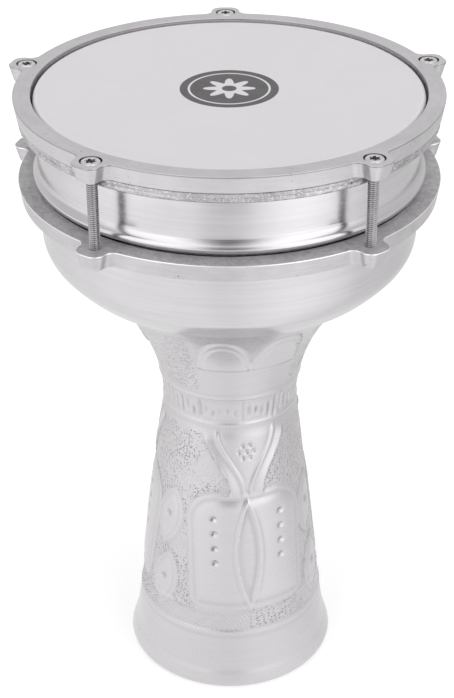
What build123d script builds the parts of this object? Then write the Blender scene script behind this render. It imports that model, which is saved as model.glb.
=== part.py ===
"""Aluminium darbuka (goblet drum) with a synthetic head and five tension screws.

Millimetres. +Z is up the drum, the origin is on its axis at the plane that the foot
stands on, and the player's side of the drum is -Y. One hoop ear stands at the back.
"""

import os
from math import cos, radians, sin

from build123d import *

# ---- driving dimensions -------------------------------------------------------------
overall_height = 353.0          # foot plane to the top of the tension hoop
ring_radius = 110.0             # outside of the tension hoop and of the lug ring
ring_thickness = 8.8
wall = 2.0                      # spun sheet of the bowl and the stem

screw_count = 5
first_screw_angle = 90.9        # degrees from +X, the ear at the back
screw_circle_radius = 111.5
screw_radius = 2.75             # No. 12-24 tension screw, 5.5 mm over the thread
screw_end_inset = 0.6           # the screw stops this far above the lug ring's underside
screw_head_radius = 4.9
screw_head_height = 3.2
screw_head_chamfer = 0.6
screw_end_chamfer = 0.7
socket_radius = 2.05            # six-lobe drive: a core circle and six lobes on it
socket_lobe_radius = 0.75
socket_lobes = 6
socket_depth = 1.9
hoop_hole_radius = 2.83         # runs on the screw's shaft
lug_hole_radius = 2.8           # threaded hole, at the thread's outside

ear_tip_radius = 120.3          # at the top face; the cast sides draw in towards the bottom
ear_width = 16.0
ear_depth = 24.0
ear_corner_radius = 5.8
ear_root_fillet = 5.0
ring_draft = 1.35               # how much smaller the bottom face is, on the ring's radius
ear_draft = 2.4                 # and on an ear's tip and on each of its sides
ring_edge_fillet = 0.4
hoop_bore_radius = 101.0
lug_ring_bore_radius = 99.9
lug_ring_top_drop = 45.4        # from the top of the drum to the top of the lug ring
seat_radius = 5.5               # counterbore for a screw head

collar_radius = 99.2
bead_top_drop = 35.4
bead_bulge = 3.0
bead_radius = 2.6
bead_upper_turn = 51.4          # the bead leans: a long soft root above it,
bead_lower_turn = 80.0          # and a short steep one below it, over the lug ring
bowl_corner_drop = 75.2         # where the bowl's side starts to curve in
bowl_corner_radius = 21.5
bowl_corner_turn = 39.5
bowl_slope_radius = 91.0
bowl_slope_turn = 8.4
bowl_roll_radius = 8.0          # last curve, into the flat flange above the stem
flange_bore_radius = 73.0
rim_outer_fillet = 1.35
rim_inner_fillet = 0.5

neck_top_radius = 79.1
neck_hollow = 9.7               # how far the neck's curve hangs inside its chord
waist_radius = 38.3
waist_height = 170.8
foot_corner_radius = 57.4
foot_corner_height = 12.5
foot_radius = 60.4
foot_roll_radius = 2.4
foot_lip_width = 4.0

film_top_drop = 1.3             # playing surface below the top of the tension hoop
film_thickness = 0.3
film_gap = 0.3                  # film to bearing edge
film_edge_radius = 2.0
film_skirt_radius = 99.9
film_root_radius = 0.6
film_flange_radius = 104.0
head_hoop_radius = 108.0
head_hoop_height = 5.3
head_hoop_bore_radius = 100.2
head_hoop_floor = 1.4
inner_wall = 1.2
inner_wall_height = 2.3
outer_wall = 1.8
resin_drop = 0.3                # resin below the rim of the head hoop's channel

# ---- levels worked out from them ----------------------------------------------------
hoop_bottom = overall_height - ring_thickness
lug_ring_top = overall_height - lug_ring_top_drop
lug_ring_bottom = lug_ring_top - ring_thickness
film_top = overall_height - film_top_drop
rim_top = film_top - film_thickness - film_gap
bead_top = overall_height - bead_top_drop
bowl_corner_height = overall_height - bowl_corner_drop
head_hoop_bottom = hoop_bottom - head_hoop_height
channel_floor = head_hoop_bottom + head_hoop_floor
channel_inside = head_hoop_bore_radius + inner_wall
channel_outside = head_hoop_radius - outer_wall
film_flange_bottom = head_hoop_bottom + inner_wall_height
film_flange_top = film_flange_bottom + film_thickness
resin_top = hoop_bottom - resin_drop

os.makedirs("parts", exist_ok=True)


def write(piece, name):
    """Label a finished piece and write it as its own STEP file."""
    piece.part.label = name
    export_step(piece.part, f"parts/{name}.step")


# ---- bowl shell: collar, bead, bowl and the flat flange that the stem is joined to ----
# The bead is a convex arc between two concave ones, all tangent to each other.
bead_upper_root_radius = bead_bulge / (1 - cos(radians(bead_upper_turn))) - bead_radius
bead_lower_root_radius = bead_bulge / (1 - cos(radians(bead_lower_turn))) - bead_radius
bead_turn = bead_upper_turn + bead_lower_turn
bowl_roll_turn = 90 - bowl_corner_turn - bowl_slope_turn

with BuildPart() as bowl_shell:
    with BuildSketch(Plane.XZ) as bowl_wall:
        with BuildLine() as bowl_outside:
            collar = Line((collar_radius, rim_top), (collar_radius, bead_top))
            upper_root = JernArc(collar @ 1, collar % 1, bead_upper_root_radius, bead_upper_turn)
            bead = JernArc(upper_root @ 1, upper_root % 1, bead_radius, -bead_turn)
            lower_root = JernArc(bead @ 1, bead % 1, bead_lower_root_radius, bead_lower_turn)
            side = Line(lower_root @ 1, (collar_radius, bowl_corner_height))
            corner = JernArc(side @ 1, side % 1, bowl_corner_radius, -bowl_corner_turn)
            slope = JernArc(corner @ 1, corner % 1, bowl_slope_radius, -bowl_slope_turn)
            roll = JernArc(slope @ 1, slope % 1, bowl_roll_radius, -bowl_roll_turn)
            flange = Line(roll @ 1, (flange_bore_radius, (roll @ 1).Y))
            offset(amount=wall, side=Side.RIGHT)
        make_face()
    revolve(axis=Axis.Z)
    bearing_edge = bowl_shell.edges().group_by(Axis.Z)[-1].sort_by(SortBy.RADIUS)
    fillet(bearing_edge[-1], rim_outer_fillet)
    bearing_edge = bowl_shell.edges().group_by(Axis.Z)[-1].sort_by(SortBy.RADIUS)
    fillet(bearing_edge[0], rim_inner_fillet)
write(bowl_shell, "bowl_shell")

neck_top_height = (roll @ 1).Y

# ---- stem shell: flat turned-in top flange, hollow neck, waist, cone and rolled foot ----
neck_top = (neck_top_radius, neck_top_height)
waist = (waist_radius, waist_height)
foot_roll_middle = (
    foot_radius - foot_roll_radius * (1 - cos(radians(45))),
    foot_roll_radius * (1 - sin(radians(45))),
)
foot_edge = (foot_radius - foot_roll_radius, 0)

with BuildPart() as stem_shell:
    with BuildSketch(Plane.XZ) as stem_wall:
        with BuildLine() as stem_outside:
            top_flange = Line((flange_bore_radius, neck_top_height), neck_top)
            neck = SagittaArc(neck_top, waist, -neck_hollow)
            cone = Line(neck @ 1, (foot_corner_radius, foot_corner_height))
            flare = Line(cone @ 1, (foot_radius, foot_roll_radius))
            foot_roll = ThreePointArc(flare @ 1, foot_roll_middle, foot_edge)
            foot_lip = Line(foot_edge, (foot_edge[0] - foot_lip_width, 0))
            offset(amount=wall, side=Side.RIGHT)
        make_face()
    revolve(axis=Axis.Z)
write(stem_shell, "stem_shell")

# ---- the outlines that the tension hoop and the lug ring share -------------------------


def eared_outline(drawn_in):
    """A disc with five ears; drawn_in is 0 at a ring's top face and 1 at its bottom face."""
    radius = ring_radius - ring_draft * drawn_in
    tip = ear_tip_radius - ear_draft * drawn_in
    width = ear_width - 2 * ear_draft * drawn_in
    corner = ear_corner_radius - ear_draft * drawn_in
    with BuildSketch() as outline:
        with Locations(Location((0, 0, 0), (0, 0, first_screw_angle))):
            Circle(radius)
        with PolarLocations(tip - ear_depth / 2, screw_count, start_angle=first_screw_angle):
            RectangleRounded(ear_depth, width, corner)
        roots = [v for v in outline.vertices() if abs(Vector(v).length - radius) < 0.01]
        fillet(roots, ear_root_fillet)
    return outline.sketch


top_outline = eared_outline(0)
bottom_outline = eared_outline(1)

# ---- tension hoop: presses the head down, with a counterbored seat for each screw -------
with BuildPart() as tension_hoop:
    with BuildSketch(Plane.XY.offset(hoop_bottom)):
        add(bottom_outline)
    with BuildSketch(Plane.XY.offset(overall_height)):
        add(top_outline)
    loft(ruled=True)
    with Locations((0, 0, hoop_bottom)):
        Hole(hoop_bore_radius)
    hoop_edges = tension_hoop.edges().group_by(Axis.Z)
    fillet(hoop_edges[-1] + hoop_edges[0], ring_edge_fillet)
    with Locations(Plane.XY.offset(overall_height)):
        with PolarLocations(screw_circle_radius, screw_count, start_angle=first_screw_angle):
            CounterBoreHole(hoop_hole_radius, seat_radius, screw_head_height)
write(tension_hoop, "tension_hoop")

# ---- lug ring: hangs under the bead and takes the screws in threaded ears ---------------
with BuildPart() as lug_ring:
    with BuildSketch(Plane.XY.offset(lug_ring_bottom)):
        add(bottom_outline)
    with BuildSketch(Plane.XY.offset(lug_ring_top)):
        add(top_outline)
    loft(ruled=True)
    with Locations((0, 0, lug_ring_top)):
        Hole(lug_ring_bore_radius)
    lug_ring_edges = lug_ring.edges().group_by(Axis.Z)
    fillet(lug_ring_edges[-1] + lug_ring_edges[0], ring_edge_fillet)
    with Locations(Plane.XY.offset(lug_ring_top)):
        with PolarLocations(screw_circle_radius, screw_count, start_angle=first_screw_angle):
            Hole(lug_hole_radius)
write(lug_ring, "lug_ring")

# ---- head hoop: the channel that carries the film ---------------------------------------
with BuildPart() as head_hoop:
    with BuildSketch(Plane.XZ):
        with BuildLine():
            Polyline(
                (head_hoop_bore_radius, head_hoop_bottom),
                (head_hoop_radius, head_hoop_bottom),
                (head_hoop_radius, hoop_bottom),
                (channel_outside, hoop_bottom),
                (channel_outside, channel_floor),
                (channel_inside, channel_floor),
                (channel_inside, film_flange_bottom),
                (head_hoop_bore_radius, film_flange_bottom),
                close=True,
            )
        make_face()
    revolve(axis=Axis.Z)
write(head_hoop, "head_hoop")

# ---- head resin: locks the film's turned-out edge in the channel ------------------------
with BuildPart() as head_resin:
    with BuildSketch(Plane.XZ):
        with BuildLine():
            Polyline(
                (channel_inside, channel_floor),
                (channel_outside, channel_floor),
                (channel_outside, resin_top),
                (channel_inside, resin_top),
                (channel_inside, film_flange_top),
                (film_flange_radius, film_flange_top),
                (film_flange_radius, film_flange_bottom),
                (channel_inside, film_flange_bottom),
                close=True,
            )
        make_face()
    revolve(axis=Axis.Z)
write(head_resin, "head_resin")

# ---- head film: playing surface, rounded edge, skirt and turned-out edge ----------------
with BuildPart() as head_film:
    with BuildSketch(Plane.XZ):
        with BuildLine() as film_outside:
            crown = Line((0, film_top), (film_skirt_radius - film_edge_radius, film_top))
            edge = JernArc(crown @ 1, crown % 1, film_edge_radius, -90)
            skirt = Line(edge @ 1, (film_skirt_radius, film_flange_top + film_root_radius))
            root = JernArc(skirt @ 1, skirt % 1, film_root_radius, 90)
            film_flange = Line(root @ 1, (film_flange_radius, film_flange_top))
            offset(amount=film_thickness, side=Side.RIGHT)
        make_face()
    revolve(axis=Axis.Z)
write(head_film, "head_film")

# ---- tension screws: each turns in its seat and draws the hoop towards the lug ring -----
screw_length = overall_height - lug_ring_bottom - screw_end_inset

for index in range(screw_count):
    angle = radians(first_screw_angle + index * 360 / screw_count)
    outward = Vector(cos(angle), sin(angle), 0)
    head_face = Plane(outward * screw_circle_radius + Vector(0, 0, overall_height), x_dir=outward)
    with BuildPart() as tension_screw:
        with BuildSketch(head_face.offset(-screw_head_height)):
            Circle(screw_head_radius)
        extrude(amount=screw_head_height)
        chamfer(tension_screw.edges().group_by(Axis.Z)[-1], screw_head_chamfer)
        with BuildSketch(head_face.offset(-screw_length)):
            Circle(screw_radius)
        extrude(amount=screw_length - screw_head_height)
        chamfer(tension_screw.edges().group_by(Axis.Z)[0], screw_end_chamfer)
        with BuildSketch(head_face):
            Circle(socket_radius)
            with PolarLocations(socket_radius, socket_lobes):
                Circle(socket_lobe_radius)
        extrude(amount=-socket_depth, mode=Mode.SUBTRACT)
    write(tension_screw, f"tension_screw_{index + 1}")
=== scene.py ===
"""Looks of the aluminium darbuka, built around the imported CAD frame. Metres, +Z up."""

from math import atan2, cos, degrees, hypot, pi, radians, sin

import bpy
import numpy as np
from mathutils import Matrix, Vector


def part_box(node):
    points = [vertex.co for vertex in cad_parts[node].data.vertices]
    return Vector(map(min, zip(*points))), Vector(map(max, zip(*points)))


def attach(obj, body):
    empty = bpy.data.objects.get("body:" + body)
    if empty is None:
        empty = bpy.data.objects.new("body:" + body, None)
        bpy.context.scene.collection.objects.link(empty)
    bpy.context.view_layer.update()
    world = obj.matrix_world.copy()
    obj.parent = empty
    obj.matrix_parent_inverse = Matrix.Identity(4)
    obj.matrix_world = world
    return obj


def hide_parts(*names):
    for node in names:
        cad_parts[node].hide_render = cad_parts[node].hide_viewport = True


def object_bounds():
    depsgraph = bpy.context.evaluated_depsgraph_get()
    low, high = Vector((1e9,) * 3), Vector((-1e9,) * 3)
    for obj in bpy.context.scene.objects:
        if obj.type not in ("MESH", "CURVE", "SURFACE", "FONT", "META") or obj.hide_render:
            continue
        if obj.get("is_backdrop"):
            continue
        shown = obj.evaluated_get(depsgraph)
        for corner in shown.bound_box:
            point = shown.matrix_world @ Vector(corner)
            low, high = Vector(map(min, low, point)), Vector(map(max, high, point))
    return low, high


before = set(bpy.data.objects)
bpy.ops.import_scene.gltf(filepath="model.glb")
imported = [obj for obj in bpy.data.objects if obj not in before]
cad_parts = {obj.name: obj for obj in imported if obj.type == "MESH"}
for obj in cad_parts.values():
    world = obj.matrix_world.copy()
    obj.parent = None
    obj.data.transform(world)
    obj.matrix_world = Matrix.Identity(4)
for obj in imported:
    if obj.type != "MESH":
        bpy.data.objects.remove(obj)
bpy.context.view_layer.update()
MM = 0.001

# ---- levels and radii, in mm, from the CAD nodes -------------------------------------------


def span(node):
    """Lowest z, highest z and outside radius of a CAD node, in mm."""
    low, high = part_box(node)
    return low.z / MM, high.z / MM, high.x / MM


hoop_bottom, drum_top, _ = span("tension_hoop")
lug_ring_bottom, lug_ring_top, _ = span("lug_ring")
bowl_bottom, rim_top, bead_radius_out = span("bowl_shell")
_, film_top, _ = span("head_film")
head_hoop_bottom, _, head_hoop_radius = span("head_hoop")
screw_bottom, _, _ = span("tension_screw_1")

# ---- node trees ----------------------------------------------------------------------------


class Graph:
    """Short names for the nodes of one tree."""

    def __init__(self, owner, coordinates="Object"):
        owner.use_nodes = True
        self.tree = owner.node_tree
        self.tree.nodes.clear()
        self.point = self.node("ShaderNodeTexCoord").outputs[coordinates]

    def node(self, kind, **settings):
        made = self.tree.nodes.new(kind)
        for key, value in settings.items():
            setattr(made, key, value)
        return made

    def put(self, socket, value):
        if isinstance(value, bpy.types.NodeSocket):
            self.tree.links.new(value, socket)
        else:
            socket.default_value = value

    def set(self, **inputs):
        """Sets or links the shader's own sockets; Base_Color stands for Base Color."""
        for key, value in inputs.items():
            self.put(self.shader.inputs[key.replace("_", " ")], value)

    def math(self, operation, *values, clamp=False):
        made = self.node("ShaderNodeMath", operation=operation, use_clamp=clamp)
        for socket, value in zip(made.inputs, values):
            self.put(socket, value)
        return made.outputs[0]

    def vector(self, operation, *values):
        made = self.node("ShaderNodeVectorMath", operation=operation)
        for socket, value in zip(made.inputs, values):
            self.put(socket, value)
        return made.outputs["Value" if operation == "LENGTH" else "Vector"]

    def split(self, vector):
        made = self.node("ShaderNodeSeparateXYZ")
        self.put(made.inputs[0], vector)
        return made.outputs[0], made.outputs[1], made.outputs[2]

    def join(self, x, y, z):
        made = self.node("ShaderNodeCombineXYZ")
        for socket, value in zip(made.inputs, (x, y, z)):
            self.put(socket, value)
        return made.outputs[0]

    def noise(self, vector, scale=1.0, detail=2.0, roughness=0.5, distortion=0.0):
        made = self.node("ShaderNodeTexNoise")
        for key, value in (("Vector", vector), ("Scale", scale), ("Detail", detail),
                           ("Roughness", roughness), ("Distortion", distortion)):
            self.put(made.inputs[key], value)
        return made.outputs["Fac"]

    def cells(self, vector, scale, feature="F1", randomness=1.0):
        made = self.node("ShaderNodeTexVoronoi", feature=feature)
        for key, value in (("Vector", vector), ("Scale", scale), ("Randomness", randomness)):
            self.put(made.inputs[key], value)
        return made.outputs["Distance"]

    def remap(self, value, low, high, to_low=0.0, to_high=1.0):
        made = self.node("ShaderNodeMapRange", interpolation_type="SMOOTHSTEP")
        for socket, given in zip(made.inputs, (value, low, high, to_low, to_high)):
            self.put(socket, given)
        return made.outputs[0]

    def mix(self, share, first, second):
        made = self.node("ShaderNodeMix", data_type="RGBA")
        for index, value in ((0, share), (6, first), (7, second)):
            self.put(made.inputs[index], value)
        return made.outputs[2]

    def bearing(self, vector):
        """0 to 1 round the drum's axis: 0.5 on the player's side, more towards +X."""
        x, y, _ = self.split(vector)
        turn = self.math("ARCTAN2", x, self.math("MULTIPLY", y, -1.0))
        return self.math("MULTIPLY_ADD", turn, 0.5 / pi, 0.5)

    def ramp(self, value, stops):
        """A grey level from (position from 0 to 1, level) pairs in rising order."""
        made = self.node("ShaderNodeValToRGB")
        made.color_ramp.interpolation = "EASE"
        elements = made.color_ramp.elements
        elements.remove(elements[1])
        elements[0].position = stops[0][0]
        for position, _ in stops[1:]:
            elements.new(position)
        for element, (_, level) in zip(elements, stops):
            element.color = (level, level, level, 1.0)
        self.put(made.inputs[0], value)
        return made.outputs[0]

    def round_ramp(self, turn, stops):
        """A grey level by bearing, from (degrees from the player's side, level) pairs."""
        return self.ramp(turn, [(angle / 360 + 0.5, level) for angle, level in stops])

    def attribute(self, name):
        return self.node("ShaderNodeAttribute", attribute_name=name).outputs["Fac"]

    def bump(self, height, distance, normal=None, strength=1.0):
        made = self.node("ShaderNodeBump")
        self.put(made.inputs["Strength"], strength)
        self.put(made.inputs["Distance"], distance)
        self.put(made.inputs["Height"], height)
        if normal is not None:
            self.put(made.inputs["Normal"], normal)
        return made.outputs[0]

    def lathe_point(self, around, along):
        """A noise space wound round the drum's axis: long along each turn, fine across turns."""
        x, y, z = self.split(self.point)
        flat = self.join(x, y, 0.0)
        turn_x, turn_y, _ = self.split(self.vector("NORMALIZE", flat))
        across = self.math("MULTIPLY_ADD", self.vector("LENGTH", flat), 0.31, z)
        return self.join(
            self.math("MULTIPLY", turn_x, around),
            self.math("MULTIPLY", turn_y, around),
            self.math("MULTIPLY", across, along),
        )


class Finish(Graph):
    """A material with one Principled shader."""

    def __init__(self, name):
        self.material = bpy.data.materials.new(name)
        super().__init__(self.material)
        out = self.node("ShaderNodeOutputMaterial")
        self.shader = self.node("ShaderNodeBsdfPrincipled")
        self.tree.links.new(self.shader.outputs["BSDF"], out.inputs["Surface"])


def grey(level, tint=0.012):
    """A near neutral colour with a trace less green."""
    return (level * (1 + tint), level * (1 - tint), level * (1 + tint), 1.0)


def spun_metal(name, dark, light, smooth, rough, line_depth, anisotropy):
    """Aluminium turned on a lathe: rings of tool marks, haze and a few long scratches."""
    g = Finish(name)
    fine = g.noise(g.lathe_point(2.5, 2400), detail=3.0, roughness=0.65)
    bands = g.noise(g.lathe_point(0.9, 330), detail=2.0, roughness=0.55)
    haze = g.noise(g.point, scale=16.0, detail=4.0, roughness=0.6, distortion=0.4)
    grain = g.noise(g.point, scale=1700.0, detail=2.0)
    scratch_space = g.noise(g.lathe_point(14.0, 900), detail=1.0, roughness=0.4)
    scratch = g.remap(scratch_space, 0.735, 0.775)
    tone = g.math("ADD", g.math("MULTIPLY", haze, 0.45), g.math("MULTIPLY", bands, 0.3))
    tone = g.math("MULTIPLY_ADD", fine, 0.25, tone)
    colour = g.mix(g.remap(tone, 0.36, 0.64), grey(dark), grey(light))
    colour = g.mix(g.math("MULTIPLY", scratch, 0.35), colour, grey(light * 1.1))
    wear = g.math("ADD", g.math("MULTIPLY", fine, 0.55), g.math("MULTIPLY", haze, 0.45))
    g.set(
        Base_Color=colour,
        Metallic=1.0,
        Roughness=g.remap(wear, 0.33, 0.67, smooth, rough),
        Anisotropic=anisotropy,
        Tangent=g.node("ShaderNodeTangent", direction_type="RADIAL", axis="Z").outputs[0],
    )
    relief = g.bump(bands, line_depth * 3.0 * MM)
    relief = g.bump(fine, line_depth * MM, relief)
    scratched = g.math("ADD", grain, g.math("MULTIPLY", scratch, -1.5))
    relief = g.bump(scratched, line_depth * 1.3 * MM, relief)
    g.set(Normal=relief)
    return g


def cast_metal(name, dark, light, smooth, rough, grain_depth, linish_depth, pits,
               matte_top=0.0, mottled_top=0.0, speckle=0.0, bands=()):
    """Cast aluminium, linished along the ring: grain, pits, stains and worn streaks.
    matte_top and mottled_top are the oxide and the dark brush marks on its top faces. bands are
    (height, half width, share, level) in mm: a painted shade line in a gap or on an edge, or a painted
    highlight."""
    g = Finish(name)
    grain = g.noise(g.point, scale=900.0, detail=4.0, roughness=0.62)
    lumps = g.noise(g.point, scale=190.0, detail=3.0, roughness=0.55)
    stain = g.noise(g.point, scale=42.0, detail=5.0, roughness=0.66, distortion=0.8)
    linish = g.noise(g.lathe_point(9.0, 1500), detail=3.0, roughness=0.6)
    spots = g.cells(g.point, 330.0)
    few = g.remap(g.noise(g.point, scale=75.0, detail=2.0), 0.54, 0.66)
    pit = g.math("MULTIPLY", g.remap(spots, 0.10, 0.24, 1.0, 0.0), few)
    tone = g.math("ADD", g.math("MULTIPLY", stain, 0.55), g.math("MULTIPLY", linish, 0.45))
    colour = g.mix(g.remap(tone, 0.37, 0.63), grey(dark), grey(light))
    colour = g.mix(g.math("MULTIPLY", pit, pits), colour, grey(dark * 0.45))
    colour = g.mix(g.remap(grain, 0.50, 0.64, 0.0, speckle), colour, grey(light * 1.3))
    facing_up = g.remap(g.split(g.node("ShaderNodeNewGeometry").outputs["Normal"])[2], 0.80, 0.97)
    brushed = g.noise(g.point, scale=170.0, detail=5.0, roughness=0.72, distortion=1.6)
    marks = g.math("MULTIPLY", g.remap(brushed, 0.40, 0.62, 0.0, mottled_top), facing_up)
    colour = g.mix(marks, colour, grey(dark * 0.42))
    # painted shade and painted highlight: a darker or lighter band along one height on the side faces
    for height, half_width, share, level in bands:
        off = g.math("ABSOLUTE", g.math("SUBTRACT", g.split(g.point)[2], height * MM))
        inside = g.remap(off, half_width * 0.35 * MM, half_width * MM, share, 0.0)
        on_side = g.math("SUBTRACT", 1.0, facing_up)
        colour = g.mix(g.math("MULTIPLY", inside, on_side), colour, grey(level))
    wear = g.math("ADD", g.math("MULTIPLY", linish, 0.5), g.math("MULTIPLY", lumps, 0.5))
    roughness = g.remap(wear, 0.35, 0.66, smooth, rough)
    g.set(
        Base_Color=colour,
        Metallic=g.math("MULTIPLY_ADD", facing_up, -matte_top, 1.0),
        Roughness=g.math("MULTIPLY_ADD", facing_up, 0.08, roughness),
        Anisotropic=0.25,
        Tangent=g.node("ShaderNodeTangent", direction_type="RADIAL", axis="Z").outputs[0],
    )
    relief = g.bump(lumps, grain_depth * 3.0 * MM)
    relief = g.bump(linish, linish_depth * MM, relief)
    relief = g.bump(g.math("SUBTRACT", grain, pit), grain_depth * MM, relief)
    g.set(Normal=relief)
    return g


# ---- mesh code -----------------------------------------------------------------------------


class Outline:
    """A chain of lines and tangent arcs in (radius, height), in mm, kept as close points."""

    def __init__(self, radius, height, heading):
        self.points = [(radius, height)]
        self.heading = heading  # degrees, 0 is outward and 90 is up

    def go(self, length, steps=1):
        r, z = self.points[-1]
        for k in range(1, steps + 1):
            step = length * k / steps
            across, up = step * cos(radians(self.heading)), step * sin(radians(self.heading))
            self.points.append((r + across, z + up))
        return self

    def to(self, radius, height, steps=1):
        r, z = self.points[-1]
        self.heading = degrees(atan2(height - z, radius - r))
        return self.go(hypot(radius - r, height - z), steps)

    def turn(self, radius, angle, steps):
        """A tangent arc; a positive angle turns left, which is anticlockwise."""
        r, z = self.points[-1]
        side = 1 if angle > 0 else -1
        toward = radians(self.heading + 90 * side)
        centre = (r + radius * cos(toward), z + radius * sin(toward))
        for k in range(1, steps + 1):
            at = toward + pi + radians(angle * k / steps)
            self.points.append((centre[0] + radius * cos(at), centre[1] + radius * sin(at)))
        self.heading += angle
        return self


def offset_outline(points, distance):
    """The same chain moved to its left by distance."""
    p = np.array(points, float)
    along = np.gradient(p, axis=0)
    along /= np.linalg.norm(along, axis=1)[:, None]
    return p + distance * np.stack([-along[:, 1], along[:, 0]], 1)


def mesh_object(name, vertices, faces, sharp_angle=32.0):
    mesh = bpy.data.meshes.new(name)
    mesh.from_pydata(np.asarray(vertices).tolist(), [], faces)
    mesh.validate()
    mesh.update()
    mesh.shade_smooth()
    mesh.set_sharp_from_angle(angle=radians(sharp_angle))
    made = bpy.data.objects.new(name, mesh)
    bpy.context.scene.collection.objects.link(made)
    return made


def revolve(name, loop, segments, shape=None):
    """A closed (radius, height) loop in mm, going anticlockwise, turned about the axis.
    shape(angles, points) may return an outward move of each grid point, in mm."""
    loop = np.array(loop, float)
    angles = np.arange(segments) * 2 * pi / segments
    radii = np.repeat(loop[:, :1], segments, 1)
    heights = np.repeat(loop[:, 1:], segments, 1)
    if shape is not None:
        ahead, behind = np.roll(loop, -1, 0), np.roll(loop, 1, 0)
        along = (ahead - behind) / np.linalg.norm(ahead - behind, axis=1)[:, None]
        move = shape(angles, loop)
        radii += along[:, 1:] * move
        heights += -along[:, :1] * move
    grid = np.stack([radii * np.cos(angles), radii * np.sin(angles), heights], -1) * MM
    count = len(loop)
    vertices, index = [], np.zeros((count, segments), int)
    for i in range(count):
        if loop[i, 0] < 1e-6:
            index[i] = len(vertices)
            vertices.append((0.0, 0.0, loop[i, 1] * MM))
        else:
            index[i] = np.arange(len(vertices), len(vertices) + segments)
            vertices.extend(grid[i])
    faces = []
    for i in range(count):
        j = (i + 1) % count
        a, b = index[i], index[j]
        a_next, b_next = np.roll(a, -1), np.roll(b, -1)
        if a[0] == a[1] and b[0] == b[1]:
            continue
        if a[0] == a[1]:
            faces += np.stack([a, b_next, b], 1).tolist()
        elif b[0] == b[1]:
            faces += np.stack([a, a_next, b], 1).tolist()
        else:
            faces += np.stack([a, a_next, b_next, b], 1).tolist()
    return mesh_object(name, np.array(vertices), faces)


def point_values(made, name, values):
    made.data.attributes.new(name, "FLOAT", "POINT").data.foreach_set(
        "value", np.asarray(values, np.float32).ravel()
    )


def ripple(angles, positions, waves, seed):
    """Smooth seeded unevenness over angle and a length, about -1 to 1."""
    draw = np.random.default_rng(seed)
    total = np.zeros((len(positions), len(angles)))
    for number, pitch in waves:
        a, b = draw.uniform(0, 2 * pi, 2)
        total += np.sin(number * angles[None, :] + a) * np.sin(positions[:, None] * 2 * pi / pitch + b)
    return total / len(waves)


# ---- bowl: collar, bead, bowl and flange ------------------------------------------------------
WALL = 2.0
COLLAR = 99.2
BEAD_TOP, BEAD_ARC = 317.6, 2.6
BEAD_UPPER_TURN, BEAD_LOWER_TURN = 51.4, 80.0
bead_bulge = bead_radius_out - COLLAR
upper_root = bead_bulge / (1 - cos(radians(BEAD_UPPER_TURN))) - BEAD_ARC
lower_root = bead_bulge / (1 - cos(radians(BEAD_LOWER_TURN))) - BEAD_ARC
BOWL_CORNER = 277.8
RIM_FILLET, FILLET_STEPS = 1.35, 8
CORNER_ARC, SLOPE_ARC, ROLL_ARC = (21.5, -39.5), (91.0, -8.4), (8.0, -42.1)  # radius, turn
FLANGE_BORE = 73.0

outside = Outline(COLLAR - RIM_FILLET, rim_top, 0.0)
outside.turn(RIM_FILLET, -90, FILLET_STEPS).go(rim_top - RIM_FILLET - BEAD_TOP, 16)
outside.turn(upper_root, BEAD_UPPER_TURN, 18)
outside.turn(BEAD_ARC, -BEAD_UPPER_TURN - BEAD_LOWER_TURN, 34)
outside.turn(lower_root, BEAD_LOWER_TURN, 10)
outside.go(outside.points[-1][1] - BOWL_CORNER, 16)
outside.turn(*CORNER_ARC, 22).turn(*SLOPE_ARC, 10).turn(*ROLL_ARC, 12)
outside.go(outside.points[-1][0] - FLANGE_BORE, 4)
rim_round = np.array(outside.points[:FILLET_STEPS + 1])
skin = np.array(outside.points[FILLET_STEPS + 1:])
inside = offset_outline(skin, -WALL)[::-1]
bowl_loop = np.concatenate([
    rim_round, skin, inside,
    [[COLLAR - WALL, rim_top - 0.5], [COLLAR - WALL + 0.15, rim_top - 0.15]],
    [[COLLAR - WALL + 0.5, rim_top]],
])


def bowl_unevenness(angles, points):
    move = 0.035 * ripple(angles, points[:, 1], ((2, 60), (3, 41), (5, 27), (9, 19)), 5)
    move[points[:, 0] < FLANGE_BORE + 1] = 0
    near_top = np.clip((rim_top - points[:, 1]) / 6, 0, 1)[:, None]
    return move * near_top


bowl = revolve("bowl", bowl_loop[::-1], 360, bowl_unevenness)
bowl.data.materials.append(spun_metal("spun_aluminium", 0.60, 0.665, 0.15, 0.24, 0.0030, 0.60).material)
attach(bowl, "shell")
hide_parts("bowl_shell")

# ---- stem: neck, waist, cone, foot, with its embossed ornament ---------------------------------
NECK_TOP, WAIST, CORNER = (79.1, bowl_bottom), (38.3, 170.8), (57.4, 12.5)
NECK_HOLLOW = 9.7
FOOT, FOOT_ROLL, FOOT_LIP = 60.4, 2.4, 4.0


def hollow_arc(start, end, depth, steps):
    """Points after start on the arc that hangs towards the axis by depth."""
    a, b = np.array(start), np.array(end)
    chord = np.linalg.norm(b - a)
    radius = (chord**2 / 4 + depth**2) / (2 * depth)
    across = np.array([-(b - a)[1], (b - a)[0]]) / chord
    if across[0] > 0:
        across = -across
    centre = (a + b) / 2 - across * (radius - depth)
    first, last = atan2(*(a - centre)[::-1]), atan2(*(b - centre)[::-1])
    if last - first > pi:
        last -= 2 * pi
    if first - last > pi:
        last += 2 * pi
    at = np.linspace(first, last, steps + 1)[1:]
    return [tuple(centre + radius * np.array([cos(t), sin(t)])) for t in at]


def straight(start, end, steps):
    """Points after start on the line to end."""
    return [tuple(a + (b - a) * k / steps for a, b in zip(start, end)) for k in range(1, steps + 1)]


neck = hollow_arc(NECK_TOP, WAIST, NECK_HOLLOW, 70)
stem_side = np.array([
    NECK_TOP, *neck, *straight(WAIST, CORNER, 126), *straight(CORNER, (FOOT, FOOT_ROLL), 6),
])


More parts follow.
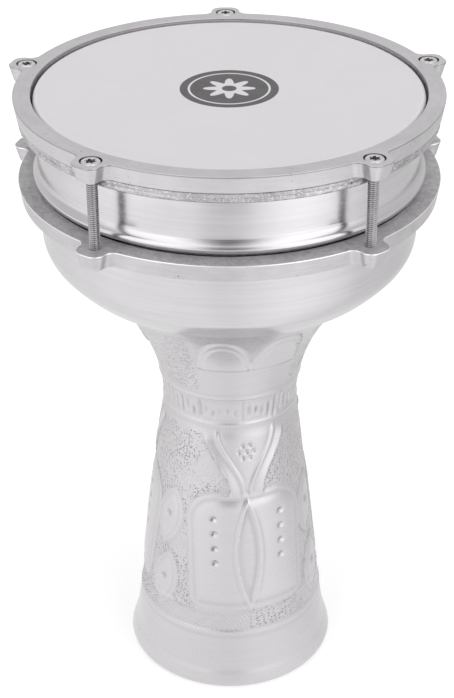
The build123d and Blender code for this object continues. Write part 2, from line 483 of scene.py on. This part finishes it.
def eased(points, low, high, passes):
    """The chain with its corner between two heights smoothed."""
    made = points.copy()
    share = np.clip(np.minimum(points[:, 1] - low, high - points[:, 1]) / 6, 0, 1)[:, None]
    for _ in range(passes):
        soft = made.copy()
        soft[1:-1] = (made[:-2] + 2 * made[1:-1] + made[2:]) / 4
        made = made + (soft - made) * share
    return made


stem_side = eased(stem_side, 162, 180, 8)
stem_side = eased(stem_side, 6, 22, 6)
roll = [
    (FOOT - FOOT_ROLL * (1 - cos(t)), FOOT_ROLL * (1 - sin(t)))
    for t in np.linspace(0, pi / 2, 9)[1:]
]
stem_inside = offset_outline(np.concatenate([stem_side, roll]), -WALL)[:-9:6][::-1]
stem_loop = np.concatenate([
    [[FLANGE_BORE, NECK_TOP[1]]], stem_side, roll,
    [[FOOT - FOOT_ROLL - FOOT_LIP, 0.0], [FOOT - FOOT_ROLL - FOOT_LIP, WALL]],
    [[FOOT - FOOT_ROLL - 0.6, WALL]],
    stem_inside[stem_inside[:, 1] < NECK_TOP[1] - WALL],
    [[FLANGE_BORE, NECK_TOP[1] - WALL]],
])
STEM_SEGMENTS = 390


def smooth(x, low, high):
    t = np.clip((x - low) / (high - low), 0, 1)
    return t * t * (3 - 2 * t)


def ridge(distance, width):
    """1 on a line, 0 past its half width."""
    return 1 - smooth(np.abs(distance), width * 0.25, width)


def rounded_box(u, v, half_u, half_v, corner):
    du, dv = np.abs(u) - half_u + corner, np.abs(v) - half_v + corner
    return np.hypot(np.maximum(du, 0), np.maximum(dv, 0)) + np.minimum(np.maximum(du, dv), 0) - corner


def almond(u, v, half_u, half_v):
    """Signed distance of a pointed oval, tall in v."""
    radius = (half_u**2 + half_v**2) / (2 * half_u)
    return np.hypot(np.abs(u) + radius - half_u, v) - radius


def ornament(angles, points):
    """(relief in mm, punched share) of the embossing, by angle and height; three repeats."""
    height = points[:, 1][:, None]
    radius = points[:, 0][:, None]
    turned = degrees(1) * (angles[None, :] + pi / 2) - 13.0  # 0 on each double panel's middle
    local = (turned + 60.0) % 120.0 - 60.0
    u = np.radians(local) * radius
    beside = np.radians((turned - 57.0 + 60.0) % 120.0 - 60.0) * radius
    relief = np.zeros(np.broadcast(u, height).shape)
    punched = smooth(height, 37, 40) * (1 - smooth(height, 163, 167)) * np.ones_like(u)

    # double arched panel with a slit between its halves and a row of dents in each
    upper = rounded_box(u, height - 92, 36, 35, 20)
    lower = rounded_box(u, height - 75, 36, 22, 5)
    panel = np.where(height < 75, lower, upper)
    relief += 0.85 * (1 - smooth(panel, -9.0, 0.6)) + 0.35 * ridge(panel + 0.6, 1.9)
    punched *= smooth(panel, 0.0, 2.0)
    slit = almond(u, height - 88, 6.5, 33)
    relief -= 0.85 * (1 - smooth(slit, -3.0, 0.5))
    relief += 0.4 * ridge(slit - 0.8, 1.6)
    for side in (-1, 1):
        for k in range(4):
            dent = np.hypot((u - side * 20) / 3.0, (height - 112 + 9.5 * k) / 2.0)
            relief -= 0.75 * (1 - smooth(dent, 0.2, 1.1))

    # two leaves, one above the other, between the panels
    for middle in (104, 61):
        leaf = almond(beside - (height - middle) * 0.16, height - middle, 9.5, 19)
        relief += 0.7 * (1 - smooth(leaf, -4.5, 0.5)) + 0.35 * ridge(leaf + 0.3, 1.6)
        punched *= smooth(leaf, 0.0, 2.0)
        eye = np.hypot(beside, height - middle - 2)
        relief -= 0.6 * (1 - smooth(eye, 1.0, 3.2))

    # a smooth kite above each panel, bordered by a raised slanting edge
    open_width = 2.0 + 15.0 * smooth(height, 128, 167)
    kite = np.abs(u) - open_width
    above = smooth(height, 125, 130)
    relief += 0.55 * ridge(kite, 1.7) * above * (1 - smooth(height, 163, 168))
    relief += 0.25 * smooth(-kite, 0, 4) * above * (1 - smooth(height, 160, 168))
    facet = np.clip(kite / 7.0, 0, 1) * (1 - smooth(kite, 7.0, 8.2))
    relief += 0.95 * facet * above * (1 - smooth(height, 158, 167))
    punched *= 1 - above * smooth(-kite, -8.5, -7.5)
    for k in range(7):
        at_u, at_v = (0.0, 0.0) if k == 0 else (4.2 * cos(k * pi / 3), 4.2 * sin(k * pi / 3))
        dot = np.hypot(u - at_u, height - 154 - at_v)
        relief -= 0.5 * (1 - smooth(dot, 0.5, 1.7))

    # fringe of upright strokes at the waist, between two fine lines
    strokes = np.random.default_rng(8)
    number = np.floor(turned / 6.0).astype(int) % 60
    stroke = np.radians(np.abs((turned / 6.0) % 1.0 - 0.5) * 6.0) * radius
    depth, width, foot_end, head_end = (
        strokes.uniform(low, high, 60)[number]
        for low, high in ((0.15, 0.8), (0.9, 1.9), (171.5, 176.5), (181.0, 188.0))
    )
    length = smooth(height, foot_end, foot_end + 3.5) * (1 - smooth(height, head_end - 3.5, head_end))
    relief -= depth * (1 - smooth(stroke, 0.3, width)) * length
    relief += 0.35 * ridge(height - 188.5, 1.3) + 0.3 * ridge(height - 170.8, 1.2)

    # two petals on a base line, high on the neck
    for side in (-1, 1):
        along = np.radians(local - side * 17.0) * radius
        petal = np.hypot(along / 14.5, (height - 211) / 25.0)
        inside_petal = (1 - smooth(petal, 0.8, 1.0)) * smooth(height, 210.4, 211.6)
        relief += 0.8 * inside_petal
        relief += 0.5 * ridge((petal - 0.98) * 17, 1.7) * smooth(height, 209, 211)
        base = ridge(height - 210.2, 1.6) * (1 - smooth(np.abs(along), 13, 16))
        relief -= 0.7 * base
    field = smooth(np.abs(local), 34, 40) * smooth(height, 191, 195) * (1 - smooth(height, 238, 243))
    punched = np.maximum(punched, field)

    # border lines and the hatched band over the plain foot
    relief += 0.4 * ridge(height - 35.8, 1.3) + 0.3 * ridge(height - 51.0, 1.1) * smooth(panel, 0.5, 3)
    hatch = np.abs(((turned + height * 0.9) / 3.0) % 1.0 - 0.5) * 2
    band = smooth(height, 37, 38.5) * (1 - smooth(height, 48.5, 50)) * smooth(panel, 0.3, 2.5)
    band = band * (np.sin(np.radians(turned) * 1.5) > 0)
    relief -= 0.35 * (1 - smooth(hatch, 0.1, 0.6)) * band
    punched *= 1 - band
    return relief, punched


def stem_relief(angles, points):
    relief, punched = ornament(angles, points)
    dimples = ripple(angles, points[:, 1], ((61, 5.3), (83, 4.1), (47, 3.6), (97, 6.2)), 12)
    relief = relief + 0.16 * dimples * punched
    relief += 0.08 * ripple(angles, points[:, 1], ((3, 90), (5, 55), (8, 33), (13, 21)), 11)
    on_side = np.zeros(len(points))
    on_side[2:len(stem_side) - 4] = 1
    # the field is sunk, so that the highest points stay on the shell's own outside
    sunk = np.clip((NECK_TOP[1] - points[:, 1]) / 18, 0, 1) * np.clip((points[:, 1] - 3) / 32, 0, 1)
    return np.maximum(1.5 * relief - 1.0, -1.7) * (on_side * sunk)[:, None]


def stem_relief_up(angles, points):
    return stem_relief(angles, points[::-1])[::-1]


stem = revolve("stem", stem_loop[::-1], STEM_SEGMENTS, stem_relief_up)
stem_angles = np.arange(STEM_SEGMENTS) * 2 * pi / STEM_SEGMENTS
stem_height, stem_punched = ornament(stem_angles, stem_loop)
nearby = sum(np.roll(stem_height, (i, j), (0, 1)) for i in (-2, 0, 2) for j in (-2, 0, 2)) / 9
outer = np.zeros((len(stem_loop), 1))
outer[1:len(stem_side)] = 1
point_values(stem, "punched", (stem_punched * outer)[::-1])
# raised and crease drive a painted highlight and a painted shade in the embossed metal
point_values(stem, "raised", (np.clip(stem_height / 1.2, 0, 1) * outer)[::-1])
point_values(stem, "crease", (np.clip((nearby - stem_height) * 2.2, 0, 1) * outer)[::-1])


def embossed_metal():
    """Spun metal with punched dots in the field, painted shade in the creases and a painted highlight
    on the raised relief.
    """
    g = spun_metal("embossed_aluminium", 0.59, 0.615, 0.25, 0.30, 0.0005, 0.25)
    x, y, z = g.split(g.point)
    dots = g.cells(g.join(x, y, g.math("MULTIPLY", z, 1.2)), 690.0, randomness=0.6)
    force = g.remap(g.noise(g.point, scale=48.0, detail=2.0), 0.40, 0.60, 0.25, 1.0)
    punched = g.math("MULTIPLY", g.attribute("punched"), force)
    dimple = g.math("MULTIPLY", g.remap(dots, 0.08, 0.50), punched)
    patina = g.math("MULTIPLY", g.remap(dots, 0.06, 0.40, 0.75, 0.0), punched)
    # the punched dots' dark patina, and a painted shade in the creases of the relief
    patina_and_painted_shade = g.math("MAXIMUM", patina, g.math("MULTIPLY", g.attribute("crease"), 0.42))
    colour_link = g.shader.inputs["Base Color"].links[0].from_socket
    normal_link = g.shader.inputs["Normal"].links[0].from_socket
    # painted highlight: the raised relief is lighter
    lit = g.mix(g.math("MULTIPLY", g.attribute("raised"), 0.5), colour_link, grey(0.68))
    g.set(
        Base_Color=g.mix(patina_and_painted_shade, lit, grey(0.26)),
        Normal=g.bump(dimple, 0.40 * MM, normal_link),
    )
    return g.material


stem.data.materials.append(embossed_metal())
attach(stem, "shell")
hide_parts("stem_shell")

# ---- head film: crown, rounded edge, skirt ---------------------------------------------------
FILM, SKIRT, FILM_EDGE = 0.3, 99.9, 2.0
FILM_ROOT, FILM_FLANGE = 0.6, 104.0
INNER_RIM = head_hoop_bottom + 2.3  # of the head hoop's channel, where the film turns out
film_flange_top = INNER_RIM + FILM
film_side = Outline(0.0, film_top, 0.0)
film_side.to(40.0, film_top, 6).to(85.0, film_top, 8).to(SKIRT - FILM_EDGE, film_top, 8)
film_side.turn(FILM_EDGE, -90, 12).go(film_top - FILM_EDGE - film_flange_top - FILM_ROOT, 4)
film_side.turn(FILM_ROOT, 90, 6).to(FILM_FLANGE, film_flange_top, 2)
film_out = np.array(film_side.points)
film_in = offset_outline(film_out, -FILM)[::-1]
film_in[-1] = (0.0, film_top - FILM)
film_loop = np.concatenate([film_out, film_in])[::-1]
film = revolve("head", film_loop, 288)


DISC, RING, CORE_OPENING = 25.3, 20.6, 3.75  # radii of the printed mark, in mm


def film_material():
    """Frosted white film, more worn where hands touch it, with a printed mark."""
    g = Finish("film")
    x, y, _ = g.split(g.point)
    radius = g.vector("LENGTH", g.join(x, y, 0.0))
    cloud = g.noise(g.point, scale=30.0, detail=4.0, roughness=0.6)
    frost = g.noise(g.point, scale=2600.0, detail=2.0)
    rubbed = g.noise(g.point, scale=85.0, detail=5.0, roughness=0.7, distortion=1.2)
    colour = g.mix(g.remap(cloud, 0.3, 0.7), (0.660, 0.642, 0.660, 1), (0.674, 0.655, 0.674, 1))
    # painted highlight: the film is lighter over its rounded edge
    rim = g.remap(radius, 97.0 * MM, 99.5 * MM)
    colour = g.mix(rim, colour, (0.78, 0.76, 0.78, 1))
    # the printed mark: a plain disc with a thin ring and a rosette left open in it
    turn = g.math("ARCTAN2", y, x)
    lobes = g.math("COSINE", g.math("MULTIPLY", turn, 8.0))
    rosette_edge = g.math("MULTIPLY_ADD", lobes, 3.2 * MM, 10.2 * MM)
    disc = g.remap(radius, (DISC - 0.15) * MM, (DISC + 0.15) * MM, 1.0, 0.0)
    off_ring = g.math("ABSOLUTE", g.math("SUBTRACT", radius, RING * MM))
    ring = g.remap(off_ring, 0.45 * MM, 0.7 * MM, 1.0, 0.0)
    rosette = g.remap(g.math("SUBTRACT", radius, rosette_edge), -0.15 * MM, 0.15 * MM, 1.0, 0.0)
    core = g.remap(radius, (CORE_OPENING - 0.15) * MM, (CORE_OPENING + 0.15) * MM)
    open_ink = g.math("MAXIMUM", ring, g.math("MULTIPLY", rosette, core))
    ink = g.math("MULTIPLY", disc, g.math("SUBTRACT", 1.0, open_ink))
    worn = g.math("MULTIPLY", ink, g.remap(rubbed, 0.70, 0.80, 0.985, 0.90))
    ink_tone = g.mix(g.remap(frost, 0.35, 0.65), (0.062, 0.058, 0.062, 1), (0.084, 0.080, 0.084, 1))
    g.set(
        Base_Color=g.mix(worn, colour, ink_tone),
        Roughness=g.remap(rubbed, 0.3, 0.7, 0.40, 0.52),
        Specular_IOR_Level=0.4,
        Subsurface_Weight=0.06,
        Subsurface_Radius=(0.0012, 0.0012, 0.0012),
        Normal=g.bump(frost, 0.006 * MM),
    )
    return g.material


film.data.materials.append(film_material())
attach(film, "head")
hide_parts("head_film")

# ---- head hoop: a rough channel ------------------------------------------------------------
EDGE = 0.9
HOOP_BORE, CHANNEL_BORE = 100.2, 101.4
CHANNEL_FLOOR = head_hoop_bottom + 1.4
channel = Outline(HOOP_BORE, head_hoop_bottom, 0.0)
channel.go(head_hoop_radius - EDGE - HOOP_BORE, 8).turn(EDGE, 90, 4)
channel.go(hoop_bottom - head_hoop_bottom - 2 * EDGE, 12).turn(EDGE, 90, 4)
channel_outside = head_hoop_radius - 1.8
channel.to(channel_outside, hoop_bottom, 2)
channel.to(channel_outside, CHANNEL_FLOOR, 6).to(CHANNEL_BORE, CHANNEL_FLOOR, 4)
channel.to(CHANNEL_BORE, INNER_RIM, 2).to(HOOP_BORE, INNER_RIM, 2)


def rough_side(angles, points):
    move = 0.24 * ripple(angles, points[:, 1], ((151, 3.1), (97, 2.3), (211, 1.9), (61, 5.0)), 21)
    outside_face = points[:, 0] > head_hoop_radius - EDGE
    groove = -0.35 * np.exp(-(((points[:, 1] - head_hoop_bottom - 2.4) / 0.5) ** 2))
    return (np.minimum(move, 0.12) - 0.14 + groove[:, None]) * outside_face[:, None]


head_hoop = revolve("head_hoop_ring", channel.points, 720, rough_side)
# painted shadow: dark lines at the hoop's top and bottom edges, in the gaps to the tension hoop and the
# collar
head_hoop.data.materials.append(
    cast_metal("rough_aluminium", 0.36, 0.56, 0.36, 0.54, 0.12, 0.05, 1.0, speckle=0.9,
               bands=((hoop_bottom, 0.9, 0.85, 0.07), (head_hoop_bottom, 0.7, 0.85, 0.07))).material
)
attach(head_hoop, "head")
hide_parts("head_hoop")


def resin_material():
    g = Finish("resin")
    flow = g.noise(g.point, scale=120.0, detail=4.0)
    bubbles = g.cells(g.point, 700.0)
    g.set(
        Base_Color=g.mix(g.remap(flow, 0.35, 0.65), (0.16, 0.12, 0.07, 1), (0.24, 0.18, 0.10, 1)),
        Roughness=g.remap(flow, 0.3, 0.7, 0.18, 0.32),
        Normal=g.bump(g.remap(bubbles, 0.0, 0.3), 0.03 * MM),
    )
    return g.material


# ---- tension hoop and lug ring: the CAD meshes with a cast finish ---------------------------
# painted shade: a dark line along the tension hoop's top outer edge, in place of the dark reflection in
# its small round
hoop_metal = cast_metal("cast_aluminium", 0.555, 0.62, 0.27, 0.38, 0.010, 0.008, 0.5,
                        bands=((drum_top - 0.5, 0.45, 0.45, 0.07),)).material
# painted highlight: a bright line along the lug ring's top outer edge
lug_metal = cast_metal("cast_lug_aluminium", 0.52, 0.60, 0.27, 0.38, 0.016, 0.030, 0.9, 0.75, 0.38,
                       bands=((lug_ring_top - 0.25, 0.45, 0.9, 0.95),)).material
for node, material in (
    ("tension_hoop", hoop_metal), ("lug_ring", lug_metal), ("head_resin", resin_material()),
):
    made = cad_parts[node]
    made.data.materials.clear()
    made.data.materials.append(material)

# ---- tension screws: rolled thread, round head and six-lobe socket ---------------------------
PITCH, THREAD, CORE = 1.058, 2.74, 2.12
HEAD, HEAD_HEIGHT, HEAD_CHAMFER = 4.88, 3.2, 0.6
SOCKET, LOBE = 2.05, 0.75
HEAD_COLUMNS, THREAD_COLUMNS = 96, 26
# (share of a pitch, rise from root to crest)
THREAD_PROFILE = ((0.0, 0.0), (0.12, 0.0), (0.40, 1.0), (0.52, 1.0), (0.78, 0.12), (0.9, 0.0))
THREAD_ROWS = len(THREAD_PROFILE)


def socket_edge(angle):
    """Radius of the six-lobe opening at an angle."""
    best = SOCKET
    for k in range(6):
        off = (angle - k * pi / 3 + pi) % (2 * pi) - pi
        reach = SOCKET * sin(off)
        if abs(reach) < LOBE and cos(off) > 0:
            best = max(best, SOCKET * cos(off) + (LOBE**2 - reach**2) ** 0.5)
    return best


def screw_mesh(turned):
    """Vertices in metres, crest values and faces of a screw on the Z axis, its top at height 0."""
    bottom, neck = screw_bottom - drum_top, -HEAD_HEIGHT
    turns = int((neck - bottom) / PITCH) + 2
    vertices, crest, faces = [], [], []
    rows = turns * THREAD_ROWS
    for row in range(rows):
        share, rise = THREAD_PROFILE[row % THREAD_ROWS]
        base = bottom + (row // THREAD_ROWS + share - 1) * PITCH
        for column in range(THREAD_COLUMNS):
            z = base + PITCH * column / THREAD_COLUMNS
            inside = min(max(z, bottom), neck)
            fade = min((inside - bottom) / 1.1, 1.0)
            r = CORE - 0.25 * (1 - fade) + (THREAD - CORE) * rise * fade
            at = 2 * pi * column / THREAD_COLUMNS + turned
            vertices.append((r * cos(at), r * sin(at), inside))
            # crest also sets a painted shade: the thread roots get a darker colour
            crest.append(rise * 1.25 - 0.55)
    for row in range(rows - 1):
        for column in range(THREAD_COLUMNS):
            here = row * THREAD_COLUMNS + column
            if column + 1 < THREAD_COLUMNS:
                faces.append((here, here + 1, here + 1 + THREAD_COLUMNS, here + THREAD_COLUMNS))
            elif row + THREAD_ROWS + 1 < rows:
                other = (row + THREAD_ROWS) * THREAD_COLUMNS
                faces.append((here, other, other + THREAD_COLUMNS, here + THREAD_COLUMNS))
    keep = [f for f in faces if max(vertices[i][2] for i in f) - min(vertices[i][2] for i in f) > 1e-5]
    start = len(vertices)
    count = HEAD_COLUMNS
    # (radius in mm, or share of the socket's where lobed; height; lobed)
    rings = (
        (0.0, neck + 0.02, False), (HEAD - 0.25, neck + 0.02, False), (HEAD, neck + 0.25, False),
        (HEAD, -HEAD_CHAMFER - 0.08, False), (HEAD - 0.06, -HEAD_CHAMFER + 0.06, False),
        (HEAD - HEAD_CHAMFER, -0.05, False), (HEAD - HEAD_CHAMFER - 0.12, 0.0, False),
        (3.25, 0.0, False), (1.06, 0.0, True), (1.0, -0.16, True), (0.985, -1.75, True),
        (0.9, -1.9, True), (0.0, -2.0, False),
    )
    for size, z, lobed in rings:
        for k in range(count):
            at = 2 * pi * k / count
            r = size * socket_edge(at) if lobed else size
            vertices.append((r * cos(at + turned), r * sin(at + turned), z))
            # painted shade: the socket's walls get the dark colour
            crest.append(1.0 if not lobed or size > 1.03 else -0.35)
    for ring in range(len(rings) - 1):
        for k in range(count):
            a, b = start + ring * count + k, start + ring * count + (k + 1) % count
            keep.append((a, b, b + count, a + count))
    bottom_start = len(vertices)
    end_r = CORE - 0.25
    for k in range(THREAD_COLUMNS):
        at = 2 * pi * k / THREAD_COLUMNS + turned
        vertices.append((end_r * cos(at), end_r * sin(at), bottom))
        crest.append(1.0)
    keep.append(tuple(range(len(vertices) - 1, bottom_start - 1, -1)))
    return np.array(vertices) * MM, crest, keep


def screw_material():
    g = Finish("screw_steel")
    crest = g.attribute("crest")
    grain = g.noise(g.point, scale=1300.0, detail=3.0)
    plating = g.noise(g.point, scale=210.0, detail=4.0, roughness=0.6)
    bright = g.mix(g.remap(plating, 0.35, 0.65), (0.60, 0.585, 0.60, 1), (0.72, 0.70, 0.72, 1))
    g.set(
        # painted shade: low crest values darken the thread roots and the socket
        Base_Color=g.mix(g.remap(crest, -1.0, 0.7), (0.12, 0.117, 0.12, 1), bright),
        Metallic=1.0,
        Roughness=g.remap(plating, 0.3, 0.7, 0.20, 0.33),
        Normal=g.bump(g.math("ADD", grain, plating), 0.008 * MM),
    )
    return g.material


steel = screw_material()
draw = np.random.default_rng(3)
for number in range(1, 6):
    node = f"tension_screw_{number}"
    low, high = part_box(node)
    axis = (low + high) / 2
    vertices, crest, faces = screw_mesh(draw.uniform(0, 2 * pi))
    vertices += np.array([axis.x, axis.y, high.z])
    made = mesh_object(f"screw_{number}_threaded", vertices, faces, 40.0)
    point_values(made, "crest", crest)
    made.data.materials.append(steel)
    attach(made, f"screw_{number}")
    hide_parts(node)

# ---- studio: pale floor, soft surroundings, camera ---------------------------------------------
# (degrees from the player's side, level) of what the metal mirrors: the floor near the drum,
# the floor far from it with the lowest part of the room, and the room above
LOW_NEAR = (
    (-180, 0.78), (-130, 0.90), (-84, 1.08), (-64, 1.18), (-40, 1.13), (-18, 1.085), (-5, 1.00),
    (4, 0.99), (14, 1.10), (26, 1.19), (36, 1.21), (46, 1.155), (60, 1.03), (80, 0.80),
    (120, 0.76), (180, 0.78),
)
LOW_FAR = (
    (-180, 0.75), (-140, 0.85), (-84, 1.08), (-52, 1.18), (-36, 1.12), (-22, 1.09), (-6, 0.83),
    (5, 0.82), (18, 1.15), (30, 1.335), (42, 1.385), (55, 1.25), (68, 1.02), (84, 0.82),
    (130, 0.76), (180, 0.75),
)
HIGH = (
    (-180, 0.84), (-110, 0.72), (-88, 0.70), (-76, 1.10), (-60, 1.50), (-36, 1.62), (-24, 1.45),
    (-12, 0.55), (-4, 0.10), (4, 0.10), (12, 0.50), (23, 1.42), (36, 1.68), (60, 1.60),
    (76, 1.10), (88, 0.70), (110, 0.68), (180, 0.84),
)
# (distance from the drum in m, how far the floor's levels swing from their mean there)
CONTRAST = (
    (0.0, 0.30), (0.10, 0.35), (0.19, 0.50), (0.33, 0.80), (0.50, 1.0), (0.70, 0.72),
    (0.753, 1.0), (0.79, 1.55),
)
LOW_MEAN = 1.0
FLOOR_REACH = 9.0
UNDER_FOOT = -0.0003  # just clear of the foot's underside

floor_mesh = bpy.data.meshes.new("floor")
corners = ((-1, -1), (1, -1), (1, 1), (-1, 1))
floor_points = [(FLOOR_REACH * x, FLOOR_REACH * y, UNDER_FOOT) for x, y in corners]
floor_mesh.from_pydata(floor_points, [], [(0, 1, 2, 3)])
floor = bpy.data.objects.new("floor", floor_mesh)
bpy.context.scene.collection.objects.link(floor)


def floor_material():
    """Plain pale paper to the camera; the metal mirrors soft pools of light in its place."""
    g = Finish("floor_paper")
    fibre = g.noise(g.point, scale=900.0, detail=3.0)
    g.set(
        Base_Color=g.mix(g.remap(fibre, 0.3, 0.7), grey(0.60, 0.0), grey(0.62, 0.0)),
        Roughness=0.9,
        Specular_IOR_Level=0.0,
        Emission_Color=(1, 1, 1, 1),
        Emission_Strength=0.50,
    )
    pools = g.node("ShaderNodeEmission")
    away = g.vector("LENGTH", g.point)
    contrast = g.ramp(away, CONTRAST)
    bearing = g.bearing(g.point)
    near, far = g.round_ramp(bearing, LOW_NEAR), g.round_ramp(bearing, LOW_FAR)
    pool = g.mix(g.remap(away, 0.62, 0.71), near, far)
    swing = g.math("SUBTRACT", pool, LOW_MEAN)
    level = g.math("MULTIPLY_ADD", swing, contrast, LOW_MEAN)
    g.put(pools.inputs["Color"], g.join(level, level, level))
    seen = g.node("ShaderNodeMixShader")
    out = next(n for n in g.tree.nodes if n.bl_idname == "ShaderNodeOutputMaterial")
    for socket, value in zip(seen.inputs, (g.node("ShaderNodeLightPath").outputs["Is Camera Ray"],
                                           pools.outputs[0], g.shader.outputs[0])):
        g.put(socket, value)
    g.put(out.inputs["Surface"], seen.outputs[0])
    return g.material


floor_mesh.materials.append(floor_material())
floor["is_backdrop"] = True

world = bpy.data.worlds.new("studio")
bpy.context.scene.world = world
w = Graph(world, "Generated")
side = w.bearing(w.point)
up = w.split(w.point)[2]
low_share = w.remap(up, 0.0, 0.12, 1.0, 0.0)
top_share = w.remap(up, 0.93, 0.995)
around = w.mix(low_share, w.round_ramp(side, HIGH), w.round_ramp(side, LOW_FAR))
room = w.node("ShaderNodeBackground")
w.put(room.inputs["Color"], w.mix(top_share, around, (1.35, 1.35, 1.35, 1)))
backdrop = w.node("ShaderNodeBackground")
backdrop.inputs["Color"].default_value = (1.0, 1.0, 1.0, 1)
seen = w.node("ShaderNodeMixShader")
for socket, value in zip(seen.inputs, (w.node("ShaderNodeLightPath").outputs["Is Camera Ray"],
                                       room.outputs[0], backdrop.outputs[0])):
    w.put(socket, value)
w.put(w.node("ShaderNodeOutputWorld").inputs["Surface"], seen.outputs[0])

lamp = bpy.data.lights.new("softbox_top", "AREA")
lamp.shape, lamp.size, lamp.size_y = "RECTANGLE", 1.6, 1.2
lamp.energy = 2.2
softbox = bpy.data.objects.new("softbox_top", lamp)
softbox.location = (0.5, 0.55, 2.2)
softbox.rotation_mode = "QUATERNION"
softbox.rotation_quaternion = (Vector((0, 0, 0.25)) - softbox.location).to_track_quat("-Z", "Y")
bpy.context.scene.collection.objects.link(softbox)

LENS, SENSOR = 83.13, 36.0  # mm
LOOK_DOWN, ROLL = 31.02, -0.2  # degrees
camera_data = bpy.data.cameras.new("camera")
camera_data.lens, camera_data.sensor_width = LENS, SENSOR
camera_data.clip_start, camera_data.clip_end = 0.05, 50.0
camera = bpy.data.objects.new("camera", camera_data)
camera.location = (-0.0016, -0.7720, drum_top * MM + 0.3080)
camera.matrix_world = (
    Matrix.Translation(camera.location)
    @ Matrix.Rotation(radians(90 - LOOK_DOWN), 4, "X")
    @ Matrix.Rotation(radians(ROLL), 4, "Z")
)
bpy.context.scene.collection.objects.link(camera)
bpy.context.scene.camera = camera
bpy.context.scene.view_settings.view_transform = "Standard"

low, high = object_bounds()
